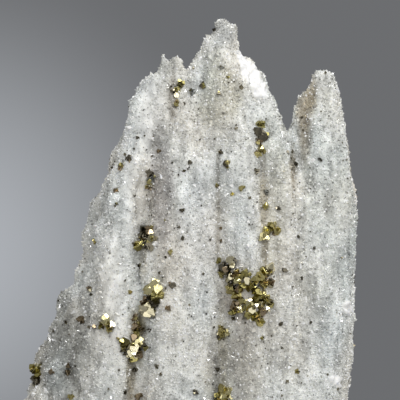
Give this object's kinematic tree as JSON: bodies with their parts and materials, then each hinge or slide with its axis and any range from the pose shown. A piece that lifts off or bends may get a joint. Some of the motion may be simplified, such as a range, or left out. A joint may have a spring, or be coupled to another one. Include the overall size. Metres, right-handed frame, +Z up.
{
  "type": "barite specimen",
  "caption": "Upright sheaf of drusy grey-white barite ribs with one spire apart and small brassy chalcopyrite crystals, on a flat cut base.",
  "frame": {"origin": "centre of the flat cut base, under the middle of the whole specimen's box", "axes": "+Z up along the ribs, -Y towards the side with the large chalcopyrite group, +X towards the separate spire"},
  "size_m": [0.0868, 0.0442, 0.106],
  "materials": {
    "barite": "translucent grey-white druse of sub-millimetre crystals, sparkling",
    "chalcopyrite": "brassy metallic crystals with bright flat faces, tarnished darker in places"
  },
  "bodies": {
    "root": {"barite_mass": "barite", "chalcopyrite_main_group": "chalcopyrite", "chalcopyrite_groove_top": "chalcopyrite", "chalcopyrite_below_groove_top": "chalcopyrite", "chalcopyrite_central_spire_brown": "chalcopyrite", "chalcopyrite_right_groove_pair": "chalcopyrite", "chalcopyrite_under_main_group": "chalcopyrite", "chalcopyrite_right_ridge_dark": "chalcopyrite", "chalcopyrite_right_spire_low": "chalcopyrite", "chalcopyrite_inner_ridge_foot": "chalcopyrite", "chalcopyrite_left_groove_brown": "chalcopyrite", "chalcopyrite_left_groove_large": "chalcopyrite", "chalcopyrite_left_groove_chain": "chalcopyrite", "chalcopyrite_left_groove_low": "chalcopyrite", "chalcopyrite_left_groove_foot": "chalcopyrite", "chalcopyrite_left_ridge_face": "chalcopyrite", "chalcopyrite_left_ridge_face_small": "chalcopyrite", "chalcopyrite_left_flank_edge": "chalcopyrite", "chalcopyrite_left_flank_chain": "chalcopyrite", "chalcopyrite_left_flank_low": "chalcopyrite", "chalcopyrite_left_flank_foot": "chalcopyrite", "chalcopyrite_left_ridge_edge_high": "chalcopyrite", "chalcopyrite_left_ridge_edge_mid": "chalcopyrite", "chalcopyrite_left_groove_steel": "chalcopyrite", "chalcopyrite_left_groove_high": "chalcopyrite", "chalcopyrite_left_groove_top": "chalcopyrite", "chalcopyrite_left_edge_mid": "chalcopyrite", "chalcopyrite_inner_ridge_high": "chalcopyrite", "chalcopyrite_inner_ridge_mid": "chalcopyrite", "chalcopyrite_left_ridge_high": "chalcopyrite", "chalcopyrite_back_centre": "chalcopyrite", "chalcopyrite_back_groove_right": "chalcopyrite", "chalcopyrite_back_right_low": "chalcopyrite", "chalcopyrite_back_left_low": "chalcopyrite", "chalcopyrite_back_spire_edge": "chalcopyrite", "chalcopyrite_back_top": "chalcopyrite"}
  },
  "joints": []
}
